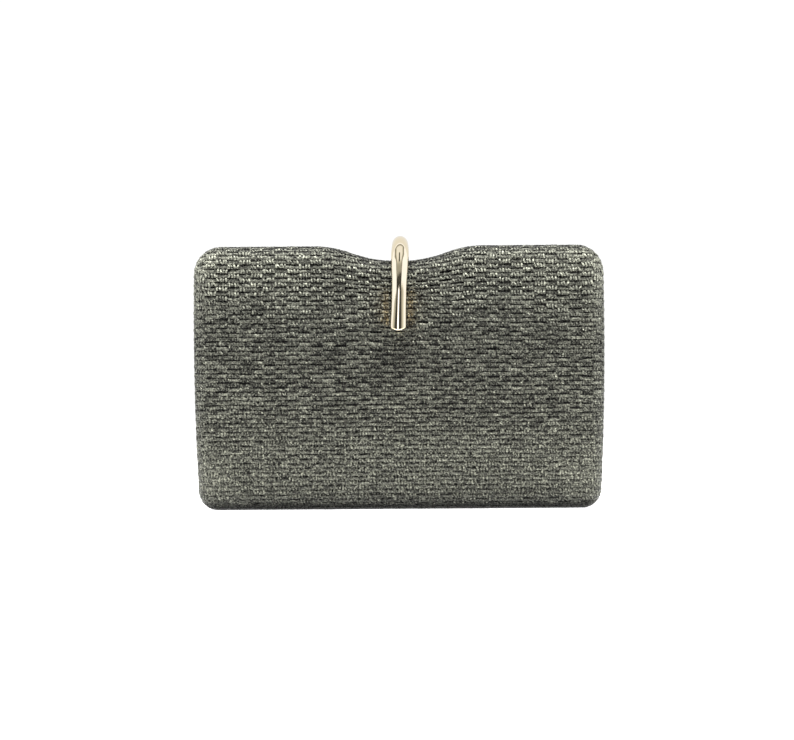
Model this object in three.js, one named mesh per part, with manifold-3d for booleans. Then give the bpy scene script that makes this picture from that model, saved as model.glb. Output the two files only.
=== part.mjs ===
// A hard-case clutch bag: two hollow halves covered in woven straw, hinged along the bottom,
// with a bent gold bar as the clasp's lever, coming over a dip in the top edge and down the front.
// Millimetres, +Z up. The front faces -Y and +X is the viewer's right.
import * as THREE from 'three';
import { mergeVertices } from 'three/addons/utils/BufferGeometryUtils.js';
import Module from 'manifold-3d';

const wasm = await Module();
wasm.setup();

// The case's outline, seen from the front
const CASE_HALF_WIDTH = 100;
const CASE_HEIGHT = 128.2;
const WIDEST_Z = 85;
const SIDE_BOW_RADIUS = 1700;
const BOTTOM_CORNER_RADIUS = 9.6;
const TOP_CORNER_RADIUS = 13.5;
const DIP_DEPTH = 7.4;
const DIP_HALF_SPAN = 41;
const DIP_HOLLOW_SHARE = 0.584;

// Each half's section, from the seam to the middle of its face
const SEAM_GAP = 0.6;
const STRAW_WALL = 2.4;
const WALL_DEPTH = 11;
const EDGE_ROLL = 8;
const FACE_CROWN = 4;
const ROLL_STEPS = 4;
const FACE_RINGS = [0.75, 0.5, 0.25];

// Bottom hinge
const HINGE_HALF_LENGTH = 73;
const HINGE_KNUCKLES = 5;
const KNUCKLE_RADIUS = 1.6;
const KNUCKLE_BORE = 1.0;
const HINGE_PIN_RADIUS = 0.7;
const HINGE_AXIS_Z = 1.9;
const LEAF_THICKNESS = 0.8;
const LEAF_REACH = 10;
const HINGE_CLEARANCE = 0.6;
const BOTTOM_RELIEF = 1.4;
const RELIEF_HEIGHT = 2.6;

// Clasp lever: a bent bar, round at the root and over the bend, oval down the leg
const BAR_TOP_Z = 133;
const BAR_TIP_Z = 87.2;
const BAR_BEND_RADIUS = 14;
const BAR_LEG_TILT = THREE.MathUtils.degToRad(5);
const BAR_PIVOT_Y = -3.5;
const BAR_PIVOT_X = 0.8;
const BAR_TIP_X = -0.4;
const BAR_ROOT_RADIUS = 4.0;
const BAR_BEND_HALF_DEPTH = 4.4;
const BAR_SHOULDER_HALF_WIDTH = 4.5;
const BAR_SHOULDER_TURN = Math.PI / 3;
const BAR_LEG_HALF_DEPTH = 2;
const BAR_TIP_HALF_WIDTH = 3.8;
const BAR_TIP_CAP = 1.4;
const BAR_FACE_GAP = 0.6;
const BAR_SIDES = 20;

// Clasp bracket: a foot, a lug and the lever's pin, soldered into one
const PIVOT_PIN_RADIUS = 1.1;
const PIVOT_PIN_HALF_LENGTH = 3.5;
const PIVOT_BORE = 1.4;
const LUG_HALF_THICKNESS = 1.6;
const LUG_RADIUS = 2.4;
const LUG_SLOT_GAP = 0.4;
const FOOT_SIZE = { x: 7.6, y: 6.2, z: 1.1 };

const TOUCH_GAP = 0.3;
const ROUND_SIDES = 16;

const straw = new THREE.MeshStandardMaterial({ color: 0x65665d, roughness: 0.55, metalness: 0.25 });
const gold = new THREE.MeshStandardMaterial({ color: 0xe6d8b8, roughness: 0.15, metalness: 1 });
const hingeMetal = new THREE.MeshStandardMaterial({ color: 0xb9a77c, roughness: 0.35, metalness: 1 });

// Joining and cutting

function asSolid(geometry) {
  const bare = geometry.clone();
  bare.deleteAttribute('normal');
  bare.deleteAttribute('uv');
  const merged = mergeVertices(bare, 1e-4);
  return new wasm.Manifold(new wasm.Mesh({
    numProp: 3,
    vertProperties: new Float32Array(merged.attributes.position.array),
    triVerts: new Uint32Array(merged.index.array),
  }));
}

function asGeometry(solid) {
  const mesh = solid.getMesh();
  const geometry = new THREE.BufferGeometry();
  geometry.setAttribute('position', new THREE.BufferAttribute(mesh.vertProperties, 3));
  geometry.setIndex(new THREE.BufferAttribute(mesh.triVerts, 1));
  geometry.computeVertexNormals();
  return geometry;
}

function boxSolid(low, high) {
  const size = high.clone().sub(low);
  const geometry = new THREE.BoxGeometry(size.x, size.y, size.z);
  geometry.translate(...low.clone().add(high).multiplyScalar(0.5));
  return asSolid(geometry);
}

// A round rod along X from x = start to x = end
function rodSolid(radius, start, end, y, z) {
  const geometry = new THREE.CylinderGeometry(radius, radius, end - start, ROUND_SIDES);
  geometry.rotateZ(Math.PI / 2);
  geometry.translate((start + end) / 2, y, z);
  return asSolid(geometry);
}

// The case's outline in the seam plane, as points with outward normals, counter-clockwise seen from the front

function arcPoints(centreX, centreZ, radius, from, to, steps, outward) {
  return Array.from({ length: steps }, (unused, step) => {
    const angle = from + (to - from) * step / steps;
    const normal = new THREE.Vector2(Math.cos(angle), Math.sin(angle));
    const point = normal.clone().multiplyScalar(radius).add(new THREE.Vector2(centreX, centreZ));
    return { point, normal: normal.multiplyScalar(outward) };
  });
}

function linePoints(from, to, normal, steps) {
  return Array.from({ length: steps }, (unused, step) => ({
    point: from.clone().lerp(to, step / steps),
    normal: normal.clone(),
  }));
}

function caseOutline() {
  const quarter = Math.PI / 2;
  const up = new THREE.Vector2(0, 1);
  const down = new THREE.Vector2(0, -1);
  const bowX = CASE_HALF_WIDTH - SIDE_BOW_RADIUS;
  // A corner's centre lies its radius inside both the straight edge and the bowed side.
  const cornerX = (radius, z) => bowX + Math.sqrt((SIDE_BOW_RADIUS - radius) ** 2 - (z - WIDEST_Z) ** 2);
  const bottom = { z: BOTTOM_CORNER_RADIUS, x: cornerX(BOTTOM_CORNER_RADIUS, BOTTOM_CORNER_RADIUS) };
  const topZ = CASE_HEIGHT - TOP_CORNER_RADIUS;
  const top = { z: topZ, x: cornerX(TOP_CORNER_RADIUS, topZ) };
  const bottomTurn = Math.atan2(bottom.z - WIDEST_Z, bottom.x - bowX);
  const topTurn = Math.atan2(top.z - WIDEST_Z, top.x - bowX);
  // The dip's hollow and its two shoulders are arcs that meet at one slope.
  const dipTurn = 2 * Math.atan(DIP_DEPTH / DIP_HALF_SPAN);
  const dipRadii = DIP_HALF_SPAN / Math.sin(dipTurn);
  const hollowRadius = dipRadii * DIP_HOLLOW_SHARE;
  const shoulderRadius = dipRadii - hollowRadius;
  const hollowZ = CASE_HEIGHT - DIP_DEPTH + hollowRadius;
  const shoulderZ = CASE_HEIGHT - shoulderRadius;

  const mirrored = (angle) => Math.PI - angle;
  const topEdge = (x) => new THREE.Vector2(x, CASE_HEIGHT);
  return [
    ...linePoints(new THREE.Vector2(-bottom.x, 0), new THREE.Vector2(bottom.x, 0), down, 8),
    ...arcPoints(bottom.x, bottom.z, BOTTOM_CORNER_RADIUS, -quarter, bottomTurn, 5, 1),
    ...arcPoints(bowX, WIDEST_Z, SIDE_BOW_RADIUS, bottomTurn, topTurn, 6, 1),
    ...arcPoints(top.x, top.z, TOP_CORNER_RADIUS, topTurn, quarter, 5, 1),
    ...linePoints(topEdge(top.x), topEdge(DIP_HALF_SPAN), up, 3),
    ...arcPoints(DIP_HALF_SPAN, shoulderZ, shoulderRadius, quarter, quarter + dipTurn, 4, 1),
    ...arcPoints(0, hollowZ, hollowRadius, dipTurn - quarter, -dipTurn - quarter, 10, -1),
    ...arcPoints(-DIP_HALF_SPAN, shoulderZ, shoulderRadius, quarter - dipTurn, quarter, 4, 1),
    ...linePoints(topEdge(-DIP_HALF_SPAN), topEdge(-top.x), up, 3),
    ...arcPoints(-top.x, top.z, TOP_CORNER_RADIUS, quarter, mirrored(topTurn), 5, 1),
    ...arcPoints(-bowX, WIDEST_Z, SIDE_BOW_RADIUS, mirrored(topTurn), mirrored(bottomTurn), 6, 1),
    ...arcPoints(-bottom.x, bottom.z, BOTTOM_CORNER_RADIUS, mirrored(bottomTurn), 3 * quarter, 5, 1),
  ];
}

// How far the face's crown stands out of the plane where the edge roll ends
function crownAt(x, z) {
  const middleZ = CASE_HEIGHT / 2;
  const across = x / (CASE_HALF_WIDTH - EDGE_ROLL);
  const along = (z - middleZ) / (middleZ - EDGE_ROLL);
  return FACE_CROWN * Math.max(0, 1 - across ** 2) * Math.max(0, 1 - along ** 2);
}

// One skin of a half: rings of [x, depth, z] from the seam over the edge roll to the middle of the face.
// inward is how far the skin lies inside the straw's outer surface.
function skinRings(outline, inward) {
  const roll = EDGE_ROLL - inward;
  const edge = outline.map(({ point, normal }) => point.clone().addScaledVector(normal, -EDGE_ROLL));
  const ring = (inset, depthAt) => outline.map(({ point, normal }, i) => {
    const at = point.clone().addScaledVector(normal, -inset);
    return [at.x, depthAt(edge[i]), at.y];
  });
  const rings = [ring(inward, () => SEAM_GAP / 2)];
  for (let step = 0; step <= ROLL_STEPS; step += 1) {
    const turn = Math.PI / 2 * step / ROLL_STEPS;
    const inset = inward + roll * (1 - Math.cos(turn));
    rings.push(ring(inset, (at) => WALL_DEPTH + (roll + crownAt(at.x, at.y)) * Math.sin(turn)));
  }
  for (const share of FACE_RINGS) {
    rings.push(edge.map((at) => {
      const x = at.x * share;
      const z = CASE_HEIGHT / 2 + (at.y - CASE_HEIGHT / 2) * share;
      return [x, WALL_DEPTH + roll + crownAt(x, z), z];
    }));
  }
  return rings;
}

// A hollow half: an outer and an inner skin that meet in a flat rim at the seam.
// side is -1 for the front half and 1 for the back half.
function halfSolid(side) {
  const outline = caseOutline();
  const count = outline.length;
  const outer = skinRings(outline, 0);
  const inner = skinRings(outline, STRAW_WALL);
  const loop = [...outer.toReversed(), ...inner];
  const vertices = loop.flat();
  const triangles = [];
  for (let ring = 0; ring + 1 < loop.length; ring += 1) {
    for (let i = 0; i < count; i += 1) {
      const next = (i + 1) % count;
      const [a, b] = [ring * count + i, ring * count + next];
      const [c, d] = [a + count, b + count];
      triangles.push([a, c, b], [b, c, d]);
    }
  }
  const middle = CASE_HEIGHT / 2;
  const faceDepth = WALL_DEPTH + EDGE_ROLL + FACE_CROWN;
  const outerMiddle = vertices.push([0, faceDepth, middle]) - 1;
  const innerMiddle = vertices.push([0, faceDepth - STRAW_WALL, middle]) - 1;
  const lastRing = (loop.length - 1) * count;
  for (let i = 0; i < count; i += 1) {
    const next = (i + 1) % count;
    triangles.push([outerMiddle, i, next], [innerMiddle, lastRing + next, lastRing + i]);
  }
  const geometry = new THREE.BufferGeometry();
  const placed = vertices.flatMap(([x, depth, z]) => [x, side * depth, z]);
  // The rings run the front half's way round, so the back half turns its faces over.
  const wound = triangles.flatMap(([a, b, c]) => (side < 0 ? [a, b, c] : [a, c, b]));
  geometry.setAttribute('position', new THREE.Float32BufferAttribute(placed, 3));
  geometry.setIndex(wound);
  return asSolid(geometry);
}

// The bottom wall stops short of the seam, to clear the hinge's barrel and the two halves' swing.
function shellGeometry(side) {
  const cuts = [
    { halfLength: HINGE_HALF_LENGTH + 2, reach: KNUCKLE_RADIUS + HINGE_CLEARANCE },
    { halfLength: CASE_HALF_WIDTH, reach: BOTTOM_RELIEF },
  ];
  let solid = halfSolid(side);
  for (const { halfLength, reach } of cuts) {
    const low = new THREE.Vector3(-halfLength, -reach, -1);
    const high = new THREE.Vector3(halfLength, reach, RELIEF_HEIGHT);
    solid = solid.subtract(boxSolid(low, high));
  }
  return asGeometry(solid);
}

// Hinge leaves: each a plate on the half's inner floor with every other knuckle. The back leaf holds the pin.

function leafGeometry(side, firstKnuckle) {
  const knuckleLength = 2 * HINGE_HALF_LENGTH / HINGE_KNUCKLES;
  const plateLow = STRAW_WALL + TOUCH_GAP;
  const plateHigh = plateLow + LEAF_THICKNESS;
  const reach = KNUCKLE_RADIUS + HINGE_CLEARANCE;
  const ends = [side * reach, side * LEAF_REACH].sort((a, b) => a - b);
  let leaf = boxSolid(
    new THREE.Vector3(-HINGE_HALF_LENGTH, ends[0], plateLow),
    new THREE.Vector3(HINGE_HALF_LENGTH, ends[1], plateHigh),
  );
  for (let knuckle = firstKnuckle; knuckle < HINGE_KNUCKLES; knuckle += 2) {
    const start = -HINGE_HALF_LENGTH + knuckle * knuckleLength + TOUCH_GAP / 2;
    const end = start + knuckleLength - TOUCH_GAP;
    const neck = [0, side * (reach + 1)].sort((a, b) => a - b);
    leaf = leaf
      .add(boxSolid(new THREE.Vector3(start, neck[0], plateLow), new THREE.Vector3(end, neck[1], plateHigh)))
      .add(rodSolid(KNUCKLE_RADIUS, start, end, 0, HINGE_AXIS_Z));
  }
  if (side < 0) {
    return asGeometry(leaf.subtract(
      rodSolid(KNUCKLE_BORE, -HINGE_HALF_LENGTH, HINGE_HALF_LENGTH, 0, HINGE_AXIS_Z),
    ));
  }
  const inset = knuckleLength / 2;
  return asGeometry(leaf.add(
    rodSolid(HINGE_PIN_RADIUS, inset - HINGE_HALF_LENGTH, HINGE_HALF_LENGTH - inset, 0, HINGE_AXIS_Z),
  ));
}

// The bar's centre line lies in a plane of constant X, apart from a slight lean of the leg.

const bendTopZ = BAR_TOP_Z - BAR_BEND_HALF_DEPTH;
const bendCentreZ = bendTopZ - BAR_BEND_RADIUS;
const bendEnd = Math.PI / 2 - BAR_LEG_TILT;
const legTopZ = bendCentreZ + BAR_BEND_RADIUS * Math.cos(bendEnd);
const legLength = (legTopZ - BAR_TIP_Z) / Math.cos(BAR_LEG_TILT);
const tipDepth = WALL_DEPTH + EDGE_ROLL + crownAt(0, BAR_TIP_Z) + BAR_FACE_GAP + BAR_LEG_HALF_DEPTH;
const bendCentreY = -tipDepth + legLength * Math.sin(BAR_LEG_TILT) + BAR_BEND_RADIUS * Math.sin(bendEnd);
const bendStart = -Math.asin((BAR_PIVOT_Y - bendCentreY) / BAR_BEND_RADIUS);
const pivotZ = bendCentreZ + BAR_BEND_RADIUS * Math.cos(bendStart);
const shoulderZ = bendCentreZ + BAR_BEND_RADIUS * Math.cos(BAR_SHOULDER_TURN);

// Sections along the bar: centre, direction, half width and half depth, from the root to the tip
function barSections() {
  const sections = [];
  const bendSteps = 12;
  const legSteps = 4;
  const add = (y, z, direction, halfWidth, halfDepth) => {
    const down = THREE.MathUtils.clamp((pivotZ - z) / (pivotZ - BAR_TIP_Z), 0, 1);
    const centre = new THREE.Vector3(THREE.MathUtils.lerp(BAR_PIVOT_X, BAR_TIP_X, down), y, z);
    sections.push({ centre, direction, halfWidth, halfDepth });
  };
  // Below its shoulder the bar narrows evenly to the tip.
  const taperedWidth = (z) => THREE.MathUtils.mapLinear(
    Math.min(z, shoulderZ),
    shoulderZ,
    BAR_TIP_Z,
    BAR_SHOULDER_HALF_WIDTH,
    BAR_TIP_HALF_WIDTH,
  );
  const bendPoint = (turn) => [
    bendCentreY - BAR_BEND_RADIUS * Math.sin(turn),
    bendCentreZ + BAR_BEND_RADIUS * Math.cos(turn),
  ];
  const heading = (turn) => new THREE.Vector3(0, -Math.cos(turn), -Math.sin(turn));
  // The root is a half ball about the pivot.
  const rootHeading = heading(bendStart);
  for (const share of [0.95, 0.8, 0.45]) {
    const [y, z] = bendPoint(bendStart);
    const back = BAR_ROOT_RADIUS * share;
    const radius = Math.sqrt(BAR_ROOT_RADIUS ** 2 - back ** 2);
    add(y - rootHeading.y * back, z - rootHeading.z * back, rootHeading, radius, radius);
  }
  for (let step = 0; step <= bendSteps; step += 1) {
    const turn = bendStart + (bendEnd - bendStart) * step / bendSteps;
    const thicken = THREE.MathUtils.smoothstep(turn, bendStart, 0);
    const flatten = THREE.MathUtils.smoothstep(turn, 0, bendEnd);
    const widen = THREE.MathUtils.smoothstep(turn, 0, BAR_SHOULDER_TURN);
    const thick = THREE.MathUtils.lerp(BAR_ROOT_RADIUS, BAR_BEND_HALF_DEPTH, thicken);
    const [y, z] = bendPoint(turn);
    add(
      y,
      z,
      heading(turn),
      THREE.MathUtils.lerp(BAR_ROOT_RADIUS, taperedWidth(z), widen),
      THREE.MathUtils.lerp(thick, BAR_LEG_HALF_DEPTH, flatten),
    );
  }
  const [legY, legZ] = bendPoint(bendEnd);
  const legHeading = heading(bendEnd);
  const alongLeg = (distance, share) => {
    const z = legZ + legHeading.z * distance;
    add(legY + legHeading.y * distance, z, legHeading, share * taperedWidth(z), share * BAR_LEG_HALF_DEPTH);
  };
  for (let step = 1; step <= legSteps; step += 1) {
    alongLeg((legLength - BAR_TIP_CAP) * step / legSteps, 1);
  }
  // The tip is cut square and ends in a shallow dome.
  const domeRadius = (BAR_TIP_HALF_WIDTH ** 2 + BAR_TIP_CAP ** 2) / (2 * BAR_TIP_CAP);
  const domeTurn = Math.asin(BAR_TIP_HALF_WIDTH / domeRadius);
  for (const share of [0.66, 0.33, 0.05]) {
    const turn = domeTurn * share;
    alongLeg(legLength - domeRadius * (1 - Math.cos(turn)), Math.sin(turn) / Math.sin(domeTurn));
  }
  return sections;
}

// A closed oval body through the sections
function sweptSolid(sections, sides) {
  const right = new THREE.Vector3(1, 0, 0);
  const positions = [];
  const triangles = [];
  for (const { centre, direction, halfWidth, halfDepth } of sections) {
    const over = new THREE.Vector3().crossVectors(right, direction);
    for (let side = 0; side < sides; side += 1) {
      const turn = 2 * Math.PI * side / sides;
      const at = centre.clone()
        .addScaledVector(right, halfWidth * Math.cos(turn))
        .addScaledVector(over, halfDepth * Math.sin(turn));
      positions.push(...at);
    }
  }
  for (let ring = 0; ring + 1 < sections.length; ring += 1) {
    for (let side = 0; side < sides; side += 1) {
      const next = (side + 1) % sides;
      const [a, b] = [ring * sides + side, ring * sides + next];
      triangles.push(a, a + sides, b, b, a + sides, b + sides);
    }
  }
  const last = sections.length - 1;
  positions.push(...sections[0].centre, ...sections[last].centre);
  const [rootCentre, tipCentre] = [sections.length * sides, sections.length * sides + 1];
  for (let side = 0; side < sides; side += 1) {
    const next = (side + 1) % sides;
    triangles.push(rootCentre, side, next);
    triangles.push(tipCentre, last * sides + next, last * sides + side);
  }
  const geometry = new THREE.BufferGeometry();
  geometry.setAttribute('position', new THREE.Float32BufferAttribute(positions, 3));
  geometry.setIndex(triangles);
  return asSolid(geometry);
}

function barGeometry() {
  const slot = LUG_HALF_THICKNESS + LUG_SLOT_GAP;
  const slotReach = LUG_RADIUS + LUG_SLOT_GAP;
  const behind = 2 * BAR_ROOT_RADIUS;
  const slotSolid = boxSolid(
    new THREE.Vector3(BAR_PIVOT_X - slot, BAR_PIVOT_Y - slotReach, pivotZ - behind),
    new THREE.Vector3(BAR_PIVOT_X + slot, BAR_PIVOT_Y + behind, pivotZ + slotReach),
  );
  const bore = rodSolid(PIVOT_BORE, BAR_PIVOT_X - behind, BAR_PIVOT_X + behind, BAR_PIVOT_Y, pivotZ);
  return asGeometry(sweptSolid(barSections(), BAR_SIDES).subtract(slotSolid).subtract(bore));
}

function bracketGeometry() {
  const footSide = BAR_PIVOT_X + FOOT_SIZE.x / 2;
  const hollowRadius = DIP_HALF_SPAN / Math.sin(2 * Math.atan(DIP_DEPTH / DIP_HALF_SPAN)) * DIP_HOLLOW_SHARE;
  const footLow = CASE_HEIGHT - DIP_DEPTH + footSide ** 2 / (2 * hollowRadius) + TOUCH_GAP;
  const footHigh = footLow + FOOT_SIZE.z;
  const foot = boxSolid(
    new THREE.Vector3(BAR_PIVOT_X - FOOT_SIZE.x / 2, BAR_PIVOT_Y - FOOT_SIZE.y / 2, footLow),
    new THREE.Vector3(BAR_PIVOT_X + FOOT_SIZE.x / 2, BAR_PIVOT_Y + FOOT_SIZE.y / 2, footHigh),
  );
  const [lugLeft, lugRight] = [BAR_PIVOT_X - LUG_HALF_THICKNESS, BAR_PIVOT_X + LUG_HALF_THICKNESS];
  const post = boxSolid(
    new THREE.Vector3(lugLeft, BAR_PIVOT_Y - LUG_RADIUS, footLow),
    new THREE.Vector3(lugRight, BAR_PIVOT_Y + LUG_RADIUS, pivotZ),
  );
  const crown = rodSolid(LUG_RADIUS, lugLeft, lugRight, BAR_PIVOT_Y, pivotZ);
  const pinLeft = BAR_PIVOT_X - PIVOT_PIN_HALF_LENGTH;
  const pinRight = BAR_PIVOT_X + PIVOT_PIN_HALF_LENGTH;
  const pin = rodSolid(PIVOT_PIN_RADIUS, pinLeft, pinRight, BAR_PIVOT_Y, pivotZ);
  return asGeometry(foot.add(post).add(crown).add(pin));
}

// The origin is under the middle of the box that holds the case and its clasp.
const tipForward = BAR_LEG_HALF_DEPTH * Math.cos(BAR_LEG_TILT) - BAR_TIP_CAP * Math.sin(BAR_LEG_TILT);
const frontReach = tipDepth + tipForward;
const backReach = WALL_DEPTH + EDGE_ROLL + FACE_CROWN;
const clutch = new THREE.Group();
clutch.position.y = (frontReach - backReach) / 2;

const pieces = [
  { name: 'front_shell', geometry: shellGeometry(-1), material: straw },
  { name: 'back_shell', geometry: shellGeometry(1), material: straw },
  { name: 'hinge_front_leaf', geometry: leafGeometry(-1, 1), material: hingeMetal },
  { name: 'hinge_back_leaf', geometry: leafGeometry(1, 0), material: hingeMetal },
  { name: 'clasp_bracket', geometry: bracketGeometry(), material: gold },
  { name: 'clasp_bar', geometry: barGeometry(), material: gold },
];
for (const { name, geometry, material } of pieces) {
  const mesh = new THREE.Mesh(geometry, material);
  mesh.name = name;
  clutch.add(mesh);
}

export default clutch;
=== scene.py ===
"""Looks of a hard-case straw clutch: woven straw halves, a polished bar clasp, the hinge, stage and camera.
Sizes are in millimetres unless a comment says metres, and each mesh is scaled to metres when it is made."""

import math

import bpy
import numpy as np
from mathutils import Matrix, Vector


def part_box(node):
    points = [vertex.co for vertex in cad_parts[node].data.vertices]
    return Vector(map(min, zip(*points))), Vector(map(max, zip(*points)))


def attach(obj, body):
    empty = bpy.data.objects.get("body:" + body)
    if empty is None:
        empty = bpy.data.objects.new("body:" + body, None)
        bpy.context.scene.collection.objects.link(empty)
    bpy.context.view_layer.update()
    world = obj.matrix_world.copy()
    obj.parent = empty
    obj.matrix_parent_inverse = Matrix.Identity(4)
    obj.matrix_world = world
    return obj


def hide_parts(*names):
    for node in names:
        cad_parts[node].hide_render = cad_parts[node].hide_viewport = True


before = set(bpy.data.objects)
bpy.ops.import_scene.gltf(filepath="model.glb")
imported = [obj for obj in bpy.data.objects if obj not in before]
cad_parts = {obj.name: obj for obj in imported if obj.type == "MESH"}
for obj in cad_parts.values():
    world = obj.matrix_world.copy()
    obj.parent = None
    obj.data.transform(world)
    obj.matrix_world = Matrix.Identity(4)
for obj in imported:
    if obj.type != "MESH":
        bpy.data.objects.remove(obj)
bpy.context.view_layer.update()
SEED = 20
rng = np.random.default_rng(SEED)
MM = 0.001

# The case, as in the part's source
CASE_HALF_WIDTH = 100.0
CASE_HEIGHT = 128.2
WIDEST_Z = 85.0
SIDE_BOW_RADIUS = 1700.0
BOTTOM_CORNER_RADIUS = 9.6
TOP_CORNER_RADIUS = 13.5
DIP_DEPTH = 7.4
DIP_HALF_SPAN = 41.0
DIP_HOLLOW_SHARE = 0.584
STRAW_WALL = 2.4
WALL_DEPTH = 11.0
EDGE_ROLL = 8.0
FACE_CROWN = 4.0
OUTLINE_STEP = 1.5
OUTLINE_LEAST = 10

# The straw's rims lie a little closer to the seam than the bare walls do.
SEAM_GAP = 0.3
# How the cloth goes round the edge and over the rim, which leaves room for the hinge along the bottom
ROLL_LENGTH = 12.2
LIP_RADIUS = 1.0
RIM_TURN_IN = 0.9
LIP_LENGTH = LIP_RADIUS * math.pi / 2
BOTTOM_GAP = 2.2
# How far down a rim faces where the bottom's wide gap begins and where it is full
FACING_DOWN = (0.6, 0.85)
# Cloth beyond these places can lie past the face's edge, so its distance to that edge is worked out.
NEAR_EDGE_X = 84.0
NEAR_EDGE_LOW_Z = 12.0
NEAR_EDGE_HIGH_Z = 106.0
POINTS_AT_ONCE = 4000
TINY = 1e-9

# The hollow case under the straw
CASE_SINK = 1.75
RIM_SINK = 1.35
LIP_REACH = 0.07
ROLL_RINGS = 7
FACE_SHARES = np.linspace(0.9, 0.1, 9)

# The weave: groups of thin yarns up and down, flat straws across
GROUP_YARNS = 4
GROUP_PITCH = 5.7
YARN_PITCH = 1.42
YARN_HALF_WIDTH = 0.7
YARN_THICKNESS = 0.32
YARN_WAVE = 0.5
ROW_PITCH = 2.19
STRAW_HALF_WIDTH = 1.08
STRAW_THICKNESS = 0.26
STRAW_WAVE = 0.08
CLOTH_SINK = 0.8
RIM_LIFT = 0.05
# Strands with fewer sections left on the half are dropped.
LEAST_SECTIONS = 4
GROUPS = np.arange(-22, 23)
ROWS = np.arange(-11, 72)
# A strand's section: share of its half width across, share of its thickness up
SECTION = np.array([[-1.0, -0.35], [-0.5, 1.0], [0.5, 1.0], [1.0, -0.35]])
# Steps along a strand where it lies on top: place in pitches, lift and tone. The tone is painted shade where
# the strand dips under the strands it crosses, darkest at a yarn's lower end, with a little painted light on
# its upper end; UNDER is the step where it lies beneath, in painted shade.
YARN_OVER = [(-0.38, -0.3, -2.8), (-0.3, 0.85, -0.3), (-0.04, 1.0, 0.2), (0.2, 0.85, 0.35), (0.37, 0.1, 0.2)]
STRAW_OVER = [(-0.44, 0.4, -0.2), (-0.18, 1.0, 0.0), (0.18, 1.0, 0.0), (0.44, 0.4, -0.2)]
UNDER = [(0.0, -1.0, -1.5)]

# Slow waves in the cloth: their number, size, turns along x and z, and start
WAVE_COUNT = 10
WAVE_SIZE = (0.05, 0.13)
WAVE_TURN_X = (-0.2, 0.2)
WAVE_TURN_Z = (-0.12, 0.12)
WAVE_START = (0, 6)
# How much of the dip's depth the rows below it follow, and the heights over which they begin to
DIP_FOLLOW = 0.4
DIP_FOLLOW_Z = (98, 120)

# Chance differences: pairs are a range or a mean and spread, single values are a spread about nothing
CELL_SWELL = (0.55, 1.15)
CELL_SHIFT = 0.1
CELL_RISE = 0.14
CELL_TINT = 0.2
YARN_SWELL = (0.6, 1.25)
YARN_LEAN = (0.2, 0.3)
YARN_STRAY = 0.07
YARN_SWAY = 0.06
YARN_WIDTH = (0.8, 1.05)
YARN_ROLL = 0.25
YARN_TINT = 0.1
YARN_CELL_TINT = 0.35
STRAW_STRAY = 0.05
STRAW_WIDTH = (0.75, 1.0)
STRAW_ROLL = (-0.06, 0.08)
STRAW_TINT = 0.1
STRAW_CELL_TINT = 0.2
# How strongly each straw crossing gets its painted edge shade and light
STRAW_PAINTED_SHADING_STRENGTH = (0.5, 1.1)
GRAIN = 0.8
# Painted glints on the yarns: how much brighter they are, and the share of points that have one
PAINTED_GLINT_TINT = 6.0
PAINTED_GLINT_SHARE = 0.004

# Tone at the four corners of a section: painted shade where strands meet, a painted shadow along a straw's
# upper edge under the yarns above it, and painted light on the tops and on a straw's lower edge
YARN_EDGE_PAINTED_SHADING = np.array([-1.6, 0.45, 0.45, -1.6])
STRAW_EDGE_PAINTED_SHADING = np.array([0.6, 0.4, -0.3, -3.2])
# The same in the middle of the face: more painted shade on the yarns, and a painted highlight just under each
# straw's shaded upper edge
MIDDLE_YARN_EDGE_PAINTED_SHADING = np.array([-1.5, -0.6, -0.6, -1.5])
MIDDLE_STRAW_EDGE_PAINTED_SHADING = np.array([0.9, 0.5, 1.3, -2.4])
# Where the weave changes: over the face's height, its edge roll, its corners, the dip and the end at the rim
UP_FACE_Z = (80, 122)
ABOVE_FOOT_Z = (15, 60)
ON_ROLL = (-2, 5)
CORNER_X = (65, 98)
CORNER_FROM_MIDDLE = (25, 58)
BESIDE_DIP_X = (15, 55)
BEFORE_END = (2, 5)
# How much of its relief, tone and grain the weave keeps on the edge roll, low on the face or at its foot
ROLL_RELIEF = 0.4
ROLL_TONE = 0.6
LOW_RELIEF = 0.6
FOOT_RELIEF = 0.75
FOOT_TONE = 0.38
LOW_GRAIN = 0.85
FOOT_GRAIN = 0.75
# Painted shade low on the face, at its foot, in the dip under the bar and on the top and bottom of the edge
# roll, and painted light in the face's corners
LOW_PAINTED_SHADE = 0.85
FOOT_PAINTED_SHADE = 0.25
DIP_PAINTED_SHADOW = 0.45
CORNER_PAINTED_LIGHT = 0.6
TOP_ROLL_PAINTED_SHADE = 2.0
BOTTOM_ROLL_PAINTED_SHADE = 1.0

# Straw material: noise scales are in turns per metre, and bump depths in metres
WARP_FIBRE_SCALE = (1800, 1800, 700)
WEFT_FIBRE_SCALE = (1300, 1800, 1800)
SPECK_SCALE = (1300, 1300, 1300)
PATCH_SCALE = (60, 60, 60)
SPECK_DETAIL = 1.0
NOISE_DETAIL = 3.0
NOISE_MIDDLE = 0.5
MIDDLE_TONE = 0.5
TINT_STRENGTH = 0.147
FIBRE_STRENGTH = 0.7
PATCH_STRENGTH = 0.08
SPECK_STRENGTH = 1.2
STRAW_ROUGHNESS = 0.24
FIBRE_ROUGHNESS = 0.3
STRAW_METALLIC = 0.2
STRAW_GLOSS = 0.4
FIBRE_BUMP = 0.5
FIBRE_BUMP_DEPTH = 0.00015
WARP_TONES = [
    (0.0, (0.006, 0.006, 0.006)),
    (0.25, (0.028, 0.028, 0.024)),
    (0.5, (0.096, 0.097, 0.079)),
    (0.75, (0.215, 0.218, 0.175)),
    (1.0, (0.38, 0.385, 0.31)),
]
WEFT_TONES = [
    (0.0, (0.006, 0.006, 0.006)),
    (0.25, (0.024, 0.024, 0.021)),
    (0.5, (0.074, 0.075, 0.0615)),
    (0.75, (0.18, 0.182, 0.147)),
    (1.0, (0.44, 0.445, 0.36)),
]

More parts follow.
